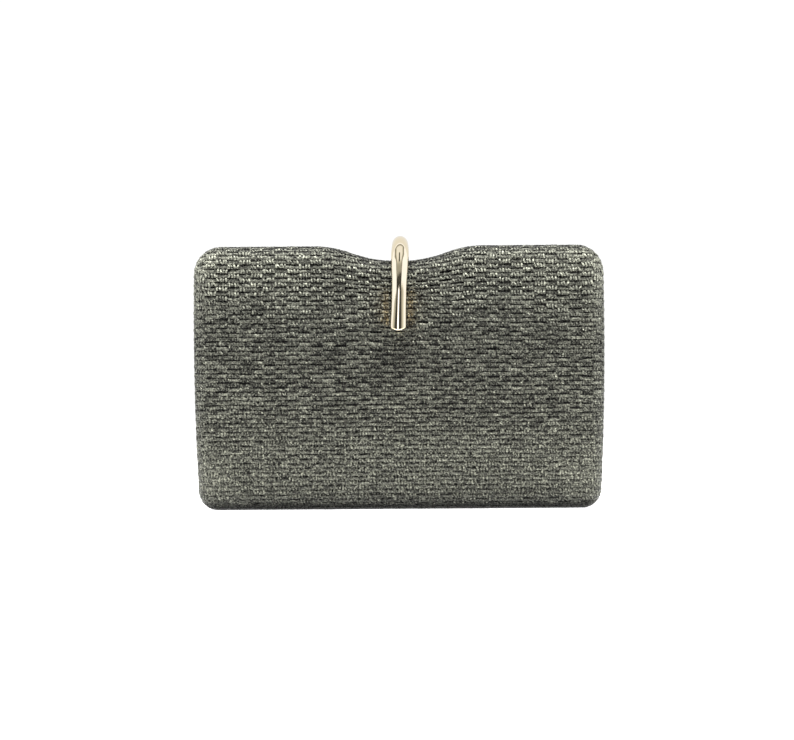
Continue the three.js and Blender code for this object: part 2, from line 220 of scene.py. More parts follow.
# Other materials
UNDER_SCALE = (900, 900, 900)
UNDER_TONES = [(0.3, (0.006, 0.006, 0.006)), (0.7, (0.022, 0.022, 0.02))]
UNDER_ROUGHNESS = 0.8
LINING_THREAD_SCALE = (2600, 2600, 500)
LINING_THREAD_DETAIL = 2.0
LINING_PATCH_SCALE = (25, 25, 25)
LINING_SHARE = 0.5
LINING_TONES = [(0.3, (0.016, 0.016, 0.017)), (0.7, (0.05, 0.05, 0.05))]
LINING_ROUGHNESS = 0.72
LINING_SHEEN = 0.25
LINING_BUMP = 0.4
LINING_BUMP_DEPTH = 0.0002
CLOUD_SCALE = (140, 140, 140)
CLOUD_PLACES = (0.25, 0.75)
LEAST_ROUGHNESS_SHARE = 0.5
METAL_BUMP = 0.05
METAL_BUMP_DEPTH = 0.00005
GOLD = (0.93, 0.82, 0.57)
DARKER_GOLD = (0.9, 0.785, 0.54)
GOLD_ROUGHNESS = 0.04
GOLD_GRAIN = (300, 300, 3000)
BRASS = (0.6, 0.5, 0.3)
DARKER_BRASS = (0.5, 0.41, 0.24)
BRASS_ROUGHNESS = 0.4
BRASS_GRAIN = (200, 3000, 3000)
EDGE_BEVEL = 0.2
BEVEL_STEPS = 2
FLOOR_SCALE = (3, 3, 3)
FLOOR_TONES = [(0.3, (0.9, 0.9, 0.895)), (0.7, (0.92, 0.92, 0.92))]
FLOOR_ROUGHNESS = 0.9
FLOOR_GLOW = 0.93

# The clasp's bar
BAR_TOP_Z = 133.0
BAR_TIP_Z = 87.2
BAR_BEND_RADIUS = 14.0
BAR_LEG_TILT = math.radians(5)
BAR_LEG_SWEEP = math.radians(6)
BAR_PIVOT_Y = -3.5
BAR_PIVOT_X = 0.8
BAR_TIP_X = -0.4
BAR_ROOT_RADIUS = 4.0
BAR_BEND_HALF_DEPTH = 4.4
BAR_SHOULDER_HALF_WIDTH = 4.35
BAR_SHOULDER_TURN = math.pi / 3
BAR_FLATTENING_TURN = math.radians(30)
BAR_LEG_HALF_DEPTH = 2.0
BAR_WAIST_HALF_WIDTH = 3.7
BAR_WAIST_RUN = (-4, 14)
BAR_TIP_HALF_WIDTH = 3.9
BAR_FLARE_LENGTH = 12
BAR_TIP_CAP = 1.4
BAR_TIP_CAP_POWER = 4
BAR_FACE_GAP = 0.6
BAR_EDGE = 0.25
BAR_SIDES = 64
BAR_ROOT_TURNS = (math.radians(86), math.radians(8))
BAR_ROOT_STEPS = 10
BAR_BEND_STEPS = 56
BAR_LEG_STEPS = 40
BAR_EDGE_STEPS = 4
SHARP_ANGLE = math.radians(35)
LUG_HALF_THICKNESS = 1.6
LUG_RADIUS = 2.4
LUG_SLOT_GAP = 0.4

# The camera, which sees the case at the photo's scale and angle
PHOTO_WIDTH = 794
MM_PER_PIXEL = 0.4867
CENTRE_X = -1.15
CENTRE_Z = 67.45
CAMERA_DISTANCE = 1500.0
CAMERA_ELEVATION = math.radians(1.4)
CAMERA_ROLL = 0.0069
CAMERA_REACH_METRES = 20
SENSOR_WIDTH = 36.0

# Floor and lights: where each light is, what it faces, its width and height, in metres, and its watts
FLOOR_HALF_SIZE = 1.2
KEY_LIGHT = {"place": (0, -0.07, 0.4), "target": (0, -0.02, 0.06), "size": (0.4, 0.05), "watts": 9.0}
BACK_LIGHT = {"place": (0, 0.4, 0.2), "target": (0, 0.02, 0.06), "size": (0.4, 0.2), "watts": 3.0}
FLOOR_BOUNCE = {"place": (0, -0.052, 0.002), "target": (0, -0.052, 1), "size": (0.4, 0.04), "watts": 0.46}
FLOOR_BOUNCE_COLOUR = (1.0, 1.0, 0.94)
SIDE_LIGHT = {"target": (0, -0.02, 0.07), "size": (0.03, 0.1), "watts": 0.27}
SIDE_LIGHT_X = 0.2
SIDE_LIGHT_Y = -0.045
SIDE_LIGHT_Z = 0.07
# Light that the polished bar throws on the straw beside it
GLOW_LIGHT = {"size": (0.001, 0.017), "watts": 0.0006, "colour": (1.0, 0.62, 0.18)}
GLOW_HEIGHT_MM = 98.0
GLOW_MIDDLE_X = -0.0003
GLOW_START_X = 0.0049
GLOW_END_X = 0.008
GLOW_STANDOFF = 0.0014

# The surroundings: brightness of their parts, as the bar mirrors them
SIDE_LEVEL = 1.2
BACK_LEVEL = 0.9
BOX_LEVEL = 0.97
BROWN_LEVEL = 0.38
RIM_LEVEL = 0.3
DIM_LEVEL = 0.4
DARK_LEVEL = 0.06
LINE_LEVEL = 2.5
BACKDROP_LEVEL = 1.05
FILL_SHARE = 0.14
BRIGHT_TONE = (0.98, 1.0, 1.18)
BRIGHT_LEVELS = (0.7, 1.2)
# The lamp box and its gap, as shares of the direction's length
LINE_X = -0.06
BOX_BACK = -0.05
BOX_HALF_WIDTH = 0.33
BOX_WIDENING = 0.3
BOX_BACK_STRETCH = 2.0
BOX_ROUNDING = 0.15
GAP_WIDENING = 0.12
BEHIND_Y = (0.0, 0.25)
DIM_ACROSS = (0.98, 0.4)
LINE_ACROSS = (0.1, 0.06)
BOX_EDGE = (1.05, 0.97)
RIM_INNER_EDGE = (0.6, 0.96)
RIM_OUTER_EDGE = (1.14, 1.06)
# Angles of rise from the front horizon over which they change, in degrees
BOX_WIDENS = (15, 52)
GAP_WIDENS = (13, 5)
DIM_BELOW = (13.4, 11.8)
BROWN_ABOVE = (15.1, 15.9)
BOX_ABOVE = (15, 29)
RIM_ABOVE = (15, 18)
SLIT_ABOVE = (20, 24)
SLIT_BELOW = (50, 45)
LINE_BELOW = (12.8, 11.8)

seam_y = (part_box("front_shell")[1].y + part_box("back_shell")[0].y) / 2 / MM

dip_turn = 2 * math.atan(DIP_DEPTH / DIP_HALF_SPAN)
hollow_radius = DIP_HALF_SPAN / math.sin(dip_turn) * DIP_HOLLOW_SHARE
shoulder_radius = DIP_HALF_SPAN / math.sin(dip_turn) - hollow_radius


def ease(value, low, high):
    """Smooth change from nothing at the low value to one at the high."""
    share = np.clip((value - low) / (high - low), 0, 1)
    return share * share * (3 - 2 * share)


def blend(first, second, share):
    return first + (second - first) * share


# The case's outline


def arc(centre_x, centre_z, radius, start, end, outward=1.0):
    steps = max(OUTLINE_LEAST, round(radius * abs(end - start) / OUTLINE_STEP))
    angle = start + (end - start) * np.arange(steps) / steps
    way = np.column_stack([np.cos(angle), np.sin(angle)])
    return np.array([centre_x, centre_z]) + radius * way, outward * way


def line(start, end, normal):
    start, end = np.array(start), np.array(end)
    steps = max(OUTLINE_LEAST, round(np.linalg.norm(end - start) / OUTLINE_STEP))
    share = (np.arange(steps) / steps)[:, None]
    return start + share * (end - start), np.repeat([normal], steps, axis=0)


def case_outline():
    """Points of the rim in the seam plane and their outward normals, counter-clockwise from the front."""
    quarter = math.pi / 2
    bow_x = CASE_HALF_WIDTH - SIDE_BOW_RADIUS

    def corner_x(radius, z):
        return bow_x + math.sqrt((SIDE_BOW_RADIUS - radius) ** 2 - (z - WIDEST_Z) ** 2)

    low_z, high_z = BOTTOM_CORNER_RADIUS, CASE_HEIGHT - TOP_CORNER_RADIUS
    low_x, high_x = corner_x(BOTTOM_CORNER_RADIUS, low_z), corner_x(TOP_CORNER_RADIUS, high_z)
    low_turn = math.atan2(low_z - WIDEST_Z, low_x - bow_x)
    high_turn = math.atan2(high_z - WIDEST_Z, high_x - bow_x)
    hollow_z = CASE_HEIGHT - DIP_DEPTH + hollow_radius
    shoulder_z = CASE_HEIGHT - shoulder_radius
    stretches = [
        line((-low_x, 0.0), (low_x, 0.0), (0.0, -1.0)),
        arc(low_x, low_z, BOTTOM_CORNER_RADIUS, -quarter, low_turn),
        arc(bow_x, WIDEST_Z, SIDE_BOW_RADIUS, low_turn, high_turn),
        arc(high_x, high_z, TOP_CORNER_RADIUS, high_turn, quarter),
        line((high_x, CASE_HEIGHT), (DIP_HALF_SPAN, CASE_HEIGHT), (0.0, 1.0)),
        arc(DIP_HALF_SPAN, shoulder_z, shoulder_radius, quarter, quarter + dip_turn),
        arc(0.0, hollow_z, hollow_radius, dip_turn - quarter, -dip_turn - quarter, -1.0),
        arc(-DIP_HALF_SPAN, shoulder_z, shoulder_radius, quarter - dip_turn, quarter),
        line((-DIP_HALF_SPAN, CASE_HEIGHT), (-high_x, CASE_HEIGHT), (0.0, 1.0)),
        arc(-high_x, high_z, TOP_CORNER_RADIUS, quarter, math.pi - high_turn),
        arc(-bow_x, WIDEST_Z, SIDE_BOW_RADIUS, math.pi - high_turn, math.pi - low_turn),
        arc(-low_x, low_z, BOTTOM_CORNER_RADIUS, math.pi - low_turn, 3 * quarter),
    ]
    return np.vstack([s[0] for s in stretches]), np.vstack([s[1] for s in stretches])


rim, rim_normals = case_outline()
face_edge = rim - EDGE_ROLL * rim_normals


def crown(x, z):
    """How far the face stands out of the plane where the edge roll ends, and its slopes along x and z."""
    middle = CASE_HEIGHT / 2
    half_x, half_z = CASE_HALF_WIDTH - EDGE_ROLL, middle - EDGE_ROLL
    across, along = x / half_x, (z - middle) / half_z
    bulge_x, bulge_z = np.maximum(0, 1 - across**2), np.maximum(0, 1 - along**2)
    slope_x = np.where(bulge_x > 0, -2 * across / half_x, 0) * bulge_z
    slope_z = np.where(bulge_z > 0, -2 * along / half_z, 0) * bulge_x
    return FACE_CROWN * bulge_x * bulge_z, FACE_CROWN * slope_x, FACE_CROWN * slope_z


def top_drop(x):
    """How far the top edge lies below the case's full height at x."""
    side = np.abs(x)
    hollow = DIP_DEPTH - hollow_radius + np.sqrt(np.maximum(0, hollow_radius**2 - side**2))
    shoulder = shoulder_radius - np.sqrt(np.maximum(0, shoulder_radius**2 - (side - DIP_HALF_SPAN) ** 2))
    drop = np.where(side < hollow_radius * math.sin(dip_turn), hollow, shoulder)
    return np.where(side < DIP_HALF_SPAN, drop, 0)


# Laying cloth on a half


def nearest_on_edge(points):
    """For each point, the nearest point of the face's edge and the distance to it, positive outside."""
    along = np.roll(face_edge, -1, axis=0) - face_edge
    length_squared = (along**2).sum(1)
    nearest = np.empty_like(points)
    distance = np.empty(len(points))
    for first in range(0, len(points), POINTS_AT_ONCE):
        part = slice(first, first + POINTS_AT_ONCE)
        offset = points[part, None, :] - face_edge[None]
        share = np.clip((offset * along).sum(-1) / length_squared, 0, 1)
        gap = offset - share[..., None] * along
        squared = (gap**2).sum(-1)
        best = squared.argmin(1)
        rows = np.arange(len(best))
        nearest[part] = points[part] - gap[rows, best]
        normal = rim_normals[best] + rim_normals[(best + 1) % len(rim)]
        side = np.sign((gap[rows, best] * normal).sum(1))
        distance[part] = side * np.sqrt(squared[rows, best])
    return nearest, distance


def lay_on_face(points):
    height, slope_x, slope_z = crown(points[:, 0], points[:, 1])
    place = np.column_stack([points[:, 0], WALL_DEPTH + EDGE_ROLL + height, points[:, 1]])
    normal = np.column_stack([-slope_x, np.ones(len(points)), -slope_z])
    return place, normal / np.linalg.norm(normal, axis=1, keepdims=True)


def along_bottom(way_up):
    """One where the rim faces down, nothing where it faces sideways or up."""
    return ease(-way_up, *FACING_DOWN)


def rim_gap(way_up):
    """How far a rim that faces so far up lies from the seam plane: wide along the bottom, close elsewhere."""
    return blend(SEAM_GAP / 2, BOTTOM_GAP, along_bottom(way_up))


def lay_on_side(points, nearest, distance):
    """Place and normal of cloth over the edge roll, down the wall, round the lip and in along the rim,
    and how far past the face's edge the cloth goes there."""
    way = (points - nearest) / np.maximum(distance, TINY)[:, None]
    wall_run = WALL_DEPTH - rim_gap(way[:, 1]) - LIP_RADIUS
    height, slope_x, slope_z = crown(nearest[:, 0], nearest[:, 1])
    fall = np.maximum(0, -(slope_x * way[:, 0] + slope_z * way[:, 1]))
    first = np.arctan(fall)
    turn = first + (math.pi / 2 - first) * np.clip(distance / ROLL_LENGTH, 0, 1)
    spread = EDGE_ROLL / (1 - np.sin(first))
    rise = (EDGE_ROLL + height) / np.cos(first)
    on_wall = np.clip(distance - ROLL_LENGTH, 0, wall_run)
    lip = np.clip((distance - ROLL_LENGTH - wall_run) / LIP_RADIUS, 0, math.pi / 2)
    on_rim = np.maximum(0, distance - ROLL_LENGTH - wall_run - LIP_LENGTH)
    out = spread * (np.sin(turn) - np.sin(first)) - LIP_RADIUS * (1 - np.cos(lip)) - on_rim
    depth = WALL_DEPTH + rise * np.cos(turn) - on_wall - LIP_RADIUS * np.sin(lip)
    normal_out = rise * np.sin(turn) * np.cos(lip)
    normal_depth = spread * np.cos(turn) - rise * np.sin(lip)
    size = np.hypot(normal_out, normal_depth)
    place = np.column_stack([nearest[:, 0] + way[:, 0] * out, depth, nearest[:, 1] + way[:, 1] * out])
    normal = np.column_stack([way[:, 0] * normal_out, normal_depth, way[:, 1] * normal_out]) / size[:, None]
    return place, normal, ROLL_LENGTH + wall_run + LIP_LENGTH + RIM_TURN_IN


def lay_cloth(points):
    """Place (x, depth, z) of flat cloth points on a half's outer surface, outward normal, distance past the
    face's edge, and how much of the cloth is left from there to its end."""
    place, normal = lay_on_face(points)
    distance = np.full(len(points), -EDGE_ROLL)
    left = np.full(len(points), CASE_HEIGHT)
    near = np.abs(points[:, 0]) > NEAR_EDGE_X
    near |= (points[:, 1] < NEAR_EDGE_LOW_Z) | (points[:, 1] > NEAR_EDGE_HIGH_Z)
    nearest, distance[near] = nearest_on_edge(points[near])
    outside = distance > 0
    beyond = outside[near]
    place[outside], normal[outside], reach = lay_on_side(points[outside], nearest[beyond], distance[outside])
    left[outside] = reach - distance[outside]
    return place, normal, distance, left


# Weaving

waves = [
    {
        "size": rng.uniform(*WAVE_SIZE),
        "x": rng.uniform(*WAVE_TURN_X),
        "z": rng.uniform(*WAVE_TURN_Z),
        "start": rng.uniform(*WAVE_START),
    }
    for _ in range(WAVE_COUNT)
]


def cloth_point(across, along):
    """Where a point of the even weave lies in flat cloth: slightly wavy, following the dip near the top."""
    x = across.copy()
    z = along.copy()
    for i, wave in enumerate(waves):
        shift = wave["size"] * np.sin(wave["x"] * across + wave["z"] * along + wave["start"])
        if i % 2:
            x += shift
        else:
            z += shift
    return np.column_stack([x, z - DIP_FOLLOW * ease(along, *DIP_FOLLOW_Z) * top_drop(across)])


def strand_vertices(strand, upright):
    """Cloth points and heights of a strand's sections, four to a section."""
    offset = strand["half_width"][:, None] * SECTION[:, 0]
    height = strand["height"][:, None] + strand["thickness"] * SECTION[:, 1]
    height = height + strand["roll"][:, None] * offset
    along = np.repeat(strand["along"][:, None], len(SECTION), axis=1)
    across = strand["across"][:, None] + offset
    if upright:
        return cloth_point(across.ravel(), along.ravel()), height.ravel()
    return cloth_point(along.ravel(), across.ravel()), height.ravel()


def weave_zones(points, place, normal, distance):
    """How the weave's relief, tone and grain change over the face, round the edge roll and at the ends, and
    the painted shade and light laid on it there.
    """
    on_roll = ease(distance, *ON_ROLL)
    up_face = ease(points[:, 1], *UP_FACE_Z)
    above_foot = ease(points[:, 1], *ABOVE_FOOT_Z)
    side = np.abs(place[:, 0])
    in_corner = ease(side, *CORNER_X) * ease(np.abs(place[:, 2] - CASE_HEIGHT / 2), *CORNER_FROM_MIDDLE)
    in_dip = (1 - ease(side, *BESIDE_DIP_X)) * up_face
    # Painted shade on the top and bottom of the edge roll, low on the face, at its foot and in the dip beside
    # the bar, less painted light in the face's corners
    roll_end_shade = np.where(normal[:, 2] > 0, TOP_ROLL_PAINTED_SHADE, BOTTOM_ROLL_PAINTED_SHADE) * normal[:, 2] ** 2
    darker = LOW_PAINTED_SHADE * (1 - up_face) + FOOT_PAINTED_SHADE * (1 - above_foot)
    darker += roll_end_shade + DIP_PAINTED_SHADOW * in_dip - CORNER_PAINTED_LIGHT * in_corner
    relief = blend(1, ROLL_RELIEF, on_roll) * blend(LOW_RELIEF, 1, up_face)
    return {
        "relief": relief * blend(FOOT_RELIEF, 1, above_foot),
        "tone": blend(1, ROLL_TONE, on_roll) * blend(FOOT_TONE, 1, above_foot),
        "grain": GRAIN * blend(LOW_GRAIN, 1, up_face) * blend(FOOT_GRAIN, 1, above_foot),
        "darker": darker,
        "in_middle": (1 - up_face) * above_foot,
        "above_foot": above_foot,
    }


def strand_tints(strand, kept, zones, upright):
    """Tones of a strand's kept sections: its own tone with painted shade and light, chance grain and, on
    yarns, a few painted glints.
    """
    # Painted shade and light at the section's corners, changing towards the middle of the face
    edge = blend(strand["edge"], strand["middle_edge"], zones["in_middle"])
    edge = edge * strand["painted_shading_strength"][kept, None]
    tint = (strand["tint"][kept, None] + edge) * zones["tone"]
    # Chance grain, less the painted shade over the face, which is negative where the corners get painted
    # light
    tint += rng.normal(0, 1, tint.shape) * zones["grain"] - zones["darker"]
    if upright:
        # Painted glints: a few points of a yarn made much brighter
        painted_glint = rng.random(tint.shape) < PAINTED_GLINT_SHARE
        tint += PAINTED_GLINT_TINT * painted_glint * zones["above_foot"]
    return tint


def strand_quads(first, sections):
    """Faces of a closed strand of so many sections, whose vertices are numbered from the first."""
    corners = len(SECTION)
    ring = first + corners * np.arange(sections - 1)[:, None, None]
    side = np.arange(corners)[None, :, None]
    after = (side + 1) % corners
    further = ring + corners
    sides = np.concatenate([ring + side, ring + after, further + after, further + side], -1)
    last = first + corners * (sections - 1)
    ends = np.array([[first + 3, first + 2, first + 1, first], [last, last + 1, last + 2, last + 3]])
    return np.vstack([sides.transpose(1, 0, 2).reshape(-1, 4), ends])


def weave_arrays(strands, upright):
    """Vertices, quads and tints of closed strands laid on a half, cut where they pass the cloth's end."""
    flat, heights = zip(*(strand_vertices(s, upright) for s in strands))
    points = np.vstack(flat)
    place, normal, distance, left = lay_cloth(points)
    zones = weave_zones(points, place, normal, distance)
    lift = zones["relief"] * (np.concatenate(heights) - CLOTH_SINK)
    # No strand stands up on the rim, where the halves meet.
    lift = np.minimum(lift, blend(RIM_LIFT, YARN_WAVE, ease(left, *BEFORE_END)))
    place = place + normal * lift[:, None]
    corners = len(SECTION)
    vertices, quads, tints = [], [], []
    start, made = 0, 0
    for strand in strands:
        sections = len(strand["along"])
        block = slice(start, start + sections * corners)
        start += sections * corners
        kept = np.flatnonzero(left[block].reshape(sections, corners).min(1) >= 0)
        if len(kept) < LEAST_SECTIONS:
            continue
        kept = np.arange(kept[0], kept[-1] + 1)
        vertices.append(place[block].reshape(sections, corners, 3)[kept].reshape(-1, 3))
        here = {name: values[block].reshape(sections, corners)[kept] for name, values in zones.items()}
        tints.append(strand_tints(strand, kept, here, upright).ravel())
        quads.append(strand_quads(made, len(kept)))
        made += len(kept) * corners
    return np.vstack(vertices), np.vstack(quads), np.concatenate(tints)


def steps_along(crossings, over, steps_over, pitch):
    """Places along a strand, its lift and tone at each, and which crossing each belongs to."""
    steps = []
    for index, (crossing, up) in enumerate(zip(crossings, over)):
        for step, lift, tone in steps_over if up else UNDER:
            steps.append(((crossing + step) * pitch, lift, tone, index))
    places, lifts, tones, owners = np.array(steps).T
    return places, lifts, tones, owners.astype(int)


def weave_cells():
    """The chance differences between crossings, which the strands that meet there share."""
    shape = (len(GROUPS), len(ROWS))
    return {
        "swell": rng.uniform(*CELL_SWELL, shape),
        "shift": rng.normal(0, CELL_SHIFT, shape),
        "rise": rng.normal(0, CELL_RISE, shape),
        "tint": rng.normal(0, CELL_TINT, shape),
    }


def warp_strands(cells, parity):
    """Thin yarns running up and down, in groups that pass over and under each row together."""
    count = len(ROWS)
    strands = []
    for index in range(parity, len(GROUPS), 2):
        group = GROUPS[index]
        places, lifts, tones, owners = steps_along(ROWS, (ROWS + group) % 2 == 0, YARN_OVER, ROW_PITCH)
        cell = {name: values[index][owners] for name, values in cells.items()}
        for yarn in range(GROUP_YARNS):
            swell = cell["swell"] * rng.uniform(*YARN_SWELL, count)[owners]
            lean = rng.normal(*YARN_LEAN, count)[owners] * (ROWS[owners] * ROW_PITCH - places)
            in_group = (yarn - (GROUP_YARNS - 1) / 2) * YARN_PITCH
            middle = group * GROUP_PITCH + in_group + rng.normal(0, YARN_STRAY)
            strands.append({
                "along": places + cell["rise"],
                "across": middle + cell["shift"] + rng.normal(0, YARN_SWAY, count)[owners] + lean,
                "half_width": YARN_HALF_WIDTH * rng.uniform(*YARN_WIDTH, count)[owners],
                "height": YARN_WAVE * np.where(lifts > 0, lifts * swell, lifts),
                "thickness": YARN_THICKNESS,
                "roll": rng.normal(0, YARN_ROLL, count)[owners],
                "tint": tones + cell["tint"] + rng.normal(0, YARN_TINT)
                + rng.normal(0, YARN_CELL_TINT, count)[owners],
                "edge": YARN_EDGE_PAINTED_SHADING,
                "middle_edge": MIDDLE_YARN_EDGE_PAINTED_SHADING,
                "painted_shading_strength": np.ones(len(places)),
            })
    return strands


def weft_strands(cells):
    """Flat straws running across, over and under the groups of yarns."""
    count = len(GROUPS)
    strands = []
    for index, row in enumerate(ROWS):
        places, lifts, tones, owners = steps_along(GROUPS, (row + GROUPS) % 2 != 0, STRAW_OVER, GROUP_PITCH)
        cell = {name: values[:, index][owners] for name, values in cells.items()}
        strands.append({
            "along": places + cell["shift"],
            "across": row * ROW_PITCH + rng.normal(0, STRAW_STRAY) + cell["rise"],
            "half_width": STRAW_HALF_WIDTH * rng.uniform(*STRAW_WIDTH, count)[owners],
            "height": STRAW_WAVE * np.where(lifts > 0, lifts * cell["swell"], lifts),
            "thickness": STRAW_THICKNESS,
            "roll": rng.normal(*STRAW_ROLL, count)[owners],
            "tint": tones + rng.normal(0, STRAW_TINT) + rng.normal(0, STRAW_CELL_TINT, count)[owners],
            "edge": STRAW_EDGE_PAINTED_SHADING,
            "middle_edge": MIDDLE_STRAW_EDGE_PAINTED_SHADING,
            "painted_shading_strength": rng.uniform(*STRAW_PAINTED_SHADING_STRENGTH, count)[owners],
        })
    return strands


# Making meshes


def to_frame(place, side):
    """Points (x, depth, z) of a half in the shared frame, in metres. side is -1 in front and 1 behind."""
    return np.column_stack([place[:, 0], seam_y + side * place[:, 1], place[:, 2]]) * MM


def mesh_piece(name, vertices, faces, materials, smooth=True):
    mesh = bpy.data.meshes.new(name)
    mesh.from_pydata(vertices, [], faces if isinstance(faces, list) else faces.tolist())
    for material in materials:
        mesh.materials.append(material)
    mesh.polygons.foreach_set("use_smooth", np.full(len(mesh.polygons), smooth))
    mesh.update()
    piece = bpy.data.objects.new(name, mesh)
    bpy.context.scene.collection.objects.link(piece)
    return piece


def neighbours(rings, count):
    """Numbers of neighbouring vertices round each ring but the last, for rings of so many vertices."""
    for ring in range(rings - 1):
        for i in range(count):
            yield ring * count + i, ring * count + (i + 1) % count


def end_faces(rings, count):
    last = (rings - 1) * count
    return [list(range(count)), [last + i for i in reversed(range(count))]]


def grid_map(mesh):
    """A texture map with one small square for each face, in the order of the faces."""
    count = len(mesh.polygons)
    columns = math.ceil(math.sqrt(count))
    face = np.arange(count)
    corner = np.array([[0, 0], [0, 1], [1, 1], [1, 0]])
    cell = np.column_stack([face % columns, face // columns])[:, None, :] + corner[None]
    layer = mesh.uv_layers.new(name="OFBake")
    layer.data.foreach_set("uv", (cell / columns).astype(np.float32).ravel())


def woven_piece(name, arrays, side, material):
    place, quads, tints = arrays
    # The front half is a mirror image of the back, so its faces are turned over.
    wound = quads if side > 0 else quads[:, ::-1]
    piece = mesh_piece(name, to_frame(place, side), wound, [material])
    piece.data.attributes.new("tint", "FLOAT", "POINT").data.foreach_set("value", tints.astype(np.float32))
    grid_map(piece.data)
    return piece


def skin_rings(inward):
    """The wall's outline, and rings (x, depth, z) from the wall to the face's middle, of a skin that lies
    inward of the straw's outer surface."""
    roll = EDGE_ROLL - inward
    height = crown(face_edge[:, 0], face_edge[:, 1])[0]
    wall = rim - inward * rim_normals
    rings = []
    for turn in np.linspace(0, math.pi / 2, ROLL_RINGS):
        at = rim - (inward + roll * (1 - math.cos(turn))) * rim_normals
        rings.append(np.column_stack([at[:, 0], WALL_DEPTH + (roll + height) * math.sin(turn), at[:, 1]]))
    middle = CASE_HEIGHT / 2
    for share in FACE_SHARES:
        x, z = face_edge[:, 0] * share, middle + (face_edge[:, 1] - middle) * share
        rings.append(np.column_stack([x, WALL_DEPTH + roll + crown(x, z)[0], z]))
    return wall, rings


def case_piece(name, side, materials):
    """The hollow half under the straw: dark under the cloth, with a plain inside."""
    outer_wall, outer = skin_rings(CASE_SINK)
    inner_wall, inner = skin_rings(STRAW_WALL)
    rim_depth = rim_gap(rim_normals[:, 1]) + RIM_SINK
    if side > 0:
        # The back half's lip reaches into the seam gap, so no light shows through, except along the bottom.
        rim_depth = blend(-LIP_REACH, BOTTOM_GAP + RIM_SINK, along_bottom(rim_normals[:, 1]))
    at_rim = [np.column_stack([wall[:, 0], rim_depth, wall[:, 1]]) for wall in (outer_wall, inner_wall)]
    loops = [*outer[::-1], *at_rim, *inner]
    count = len(rim)
    pairs = list(neighbours(len(loops), count))
    inside_from = (len(outer) + 1) * count
    faces = [[a, a + count, b + count, b] for a, b in pairs] + end_faces(len(loops), count)
    slots = [1 if a >= inside_from else 0 for a, b in pairs] + [0, 1]
    if side > 0:
        faces = [f[::-1] for f in faces]
    piece = mesh_piece(name, to_frame(np.vstack(loops), side), faces, materials)
    piece.data.polygons.foreach_set("material_index", slots)
    return piece


# Materials


class Graph:
    """Adds nodes to the node tree of a material or of the world."""

    def __init__(self, tree):
        self.nodes = tree.nodes
        self.links = tree.links

    def feed(self, socket, value):
        """Sets a socket to a number, or links another node's output to it."""
        if isinstance(value, (int, float)):
            socket.default_value = value
        else:
            self.links.new(value, socket)

    def maths(self, operation, *values):
        node = self.nodes.new("ShaderNodeMath")
        node.operation = operation
        for socket, value in zip(node.inputs, values):
            self.feed(socket, value)
        return node.outputs[0]

    def noise(self, scale, detail=NOISE_DETAIL):
        """Noise in object space, stretched by the scale on each axis, in turns per metre."""
        place = self.nodes.new("ShaderNodeTexCoord")
        mapping = self.nodes.new("ShaderNodeMapping")
        mapping.inputs["Scale"].default_value = scale
        noise = self.nodes.new("ShaderNodeTexNoise")
        noise.inputs["Scale"].default_value = 1.0
        noise.inputs["Detail"].default_value = detail
        self.links.new(place.outputs["Object"], mapping.inputs["Vector"])
        self.links.new(mapping.outputs["Vector"], noise.inputs["Vector"])
        return noise.outputs["Fac"]

    def ramp(self, value, stops):
        node = self.nodes.new("ShaderNodeValToRGB")
        elements = node.color_ramp.elements
        while len(elements) < len(stops):
            elements.new(0.5)
        for element, (place, colour) in zip(elements, stops):
            element.position = place
            element.color = (*colour, 1.0)
        self.links.new(value, node.inputs["Fac"])
        return node.outputs["Color"]

    def bump(self, height, strength, depth):
        node = self.nodes.new("ShaderNodeBump")
        node.inputs["Strength"].default_value = strength
        node.inputs["Distance"].default_value = depth
        self.links.new(height, node.inputs["Height"])
        return node.outputs["Normal"]

    def change(self, value, low, high):
        """Nothing at the low value, one at the high, smooth between. Falls where low is above high."""
        node = self.nodes.new("ShaderNodeMapRange")
        node.interpolation_type = "SMOOTHSTEP"
        node.inputs["From Min"].default_value = low
        node.inputs["From Max"].default_value = high
        self.links.new(value, node.inputs["Value"])
        return node.outputs["Result"]

    def toward(self, level, mask, goal):
        """The level, changed to the goal where the mask is one."""
        node = self.nodes.new("ShaderNodeMix")
        for name, value in (("Factor", mask), ("A", level), ("B", goal)):
            self.feed(node.inputs[name], value)
        return node.outputs["Result"]


def new_material(name):
    material = bpy.data.materials.new(name)
    material.use_nodes = True
    tree = material.node_tree
    return material, Graph(tree), tree.nodes["Principled BSDF"].inputs


def straw_material(name, fibre_scale, tones):
    """Dull metallic straw: each strand has its own tone, with the painted shade and light of its tint, and
    fine fibres along it.
    """
    material, graph, inputs = new_material(name)
    tint = graph.nodes.new("ShaderNodeAttribute")
    tint.attribute_name = "tint"
    fibre = graph.noise(fibre_scale)
    patch = graph.noise(PATCH_SCALE)
    speck = graph.noise(SPECK_SCALE, SPECK_DETAIL)
    tone = graph.maths("MULTIPLY_ADD", tint.outputs["Fac"], TINT_STRENGTH, MIDDLE_TONE)
    for noise, strength in ((fibre, FIBRE_STRENGTH), (patch, PATCH_STRENGTH), (speck, SPECK_STRENGTH)):
        swing = graph.maths("SUBTRACT", noise, NOISE_MIDDLE)
        tone = graph.maths("ADD", tone, graph.maths("MULTIPLY", swing, strength))
    gloss = graph.maths("MULTIPLY", tone, STRAW_GLOSS)
    gloss.node.use_clamp = True
    graph.feed(inputs["Base Color"], graph.ramp(tone, tones))
    graph.feed(inputs["Roughness"], graph.maths("MULTIPLY_ADD", fibre, FIBRE_ROUGHNESS, STRAW_ROUGHNESS))
    graph.feed(inputs["Metallic"], STRAW_METALLIC)
    graph.feed(inputs["Specular IOR Level"], gloss)
    graph.feed(inputs["Normal"], graph.bump(fibre, FIBRE_BUMP, FIBRE_BUMP_DEPTH))
    return material


def under_material():
    material, graph, inputs = new_material("under_cloth")
    graph.feed(inputs["Base Color"], graph.ramp(graph.noise(UNDER_SCALE), UNDER_TONES))
    graph.feed(inputs["Roughness"], UNDER_ROUGHNESS)
    return material


